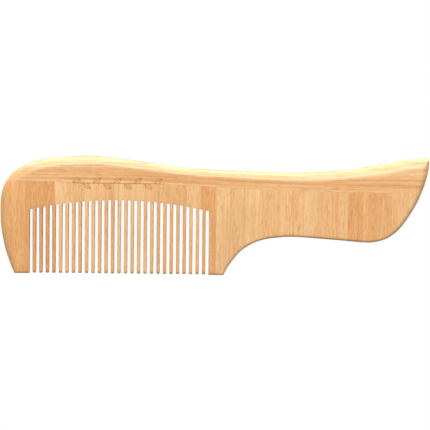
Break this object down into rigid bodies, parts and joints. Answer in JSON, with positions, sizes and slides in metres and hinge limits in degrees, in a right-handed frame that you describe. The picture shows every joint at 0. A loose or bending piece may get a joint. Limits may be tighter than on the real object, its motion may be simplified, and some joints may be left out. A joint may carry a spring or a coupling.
{
  "type": "wide tooth comb",
  "caption": "Flat one-handed wide tooth comb of laminated bamboo, with a row of teeth between two end guards under a curved spine that runs into a shaped handle.",
  "frame": {"origin": "middle of the comb's length and height, on the surface that it lies on", "axes": "+X along the comb towards the tip of the handle, +Y in the plane of the comb from the teeth to the spine, +Z out of the front face"},
  "size_m": [0.21, 0.059, 0.009],
  "materials": {
    "bamboo_light": "sanded and lightly oiled",
    "bamboo_honey": "sanded and lightly oiled",
    "bamboo_amber": "sanded and lightly oiled",
    "bamboo_toasted": "sanded and lightly oiled"
  },
  "bodies": {
    "root": {"head_stave_01": "bamboo_amber", "head_stave_02": "bamboo_amber", "head_stave_03": "bamboo_amber", "head_stave_04": "bamboo_toasted", "head_stave_05": "bamboo_light", "head_stave_06": "bamboo_honey", "head_stave_07": "bamboo_light", "head_stave_08": "bamboo_honey", "head_stave_09": "bamboo_light", "head_stave_10": "bamboo_light", "head_stave_11": "bamboo_honey", "head_stave_12": "bamboo_honey", "head_stave_13": "bamboo_honey", "head_stave_14": "bamboo_light", "head_stave_15": "bamboo_amber", "head_stave_16": "bamboo_light", "handle_stave_01": "bamboo_light", "handle_stave_02": "bamboo_light", "handle_stave_03": "bamboo_honey", "handle_stave_04": "bamboo_honey", "handle_stave_05": "bamboo_honey", "handle_stave_06": "bamboo_light", "handle_stave_07": "bamboo_honey", "handle_stave_08": "bamboo_honey", "handle_stave_09": "bamboo_toasted", "handle_stave_10": "bamboo_amber", "handle_stave_11": "bamboo_honey", "handle_stave_12": "bamboo_light", "handle_stave_13": "bamboo_light", "spine_lower_strip": "bamboo_honey", "spine_upper_strip": "bamboo_light"}
  },
  "joints": []
}
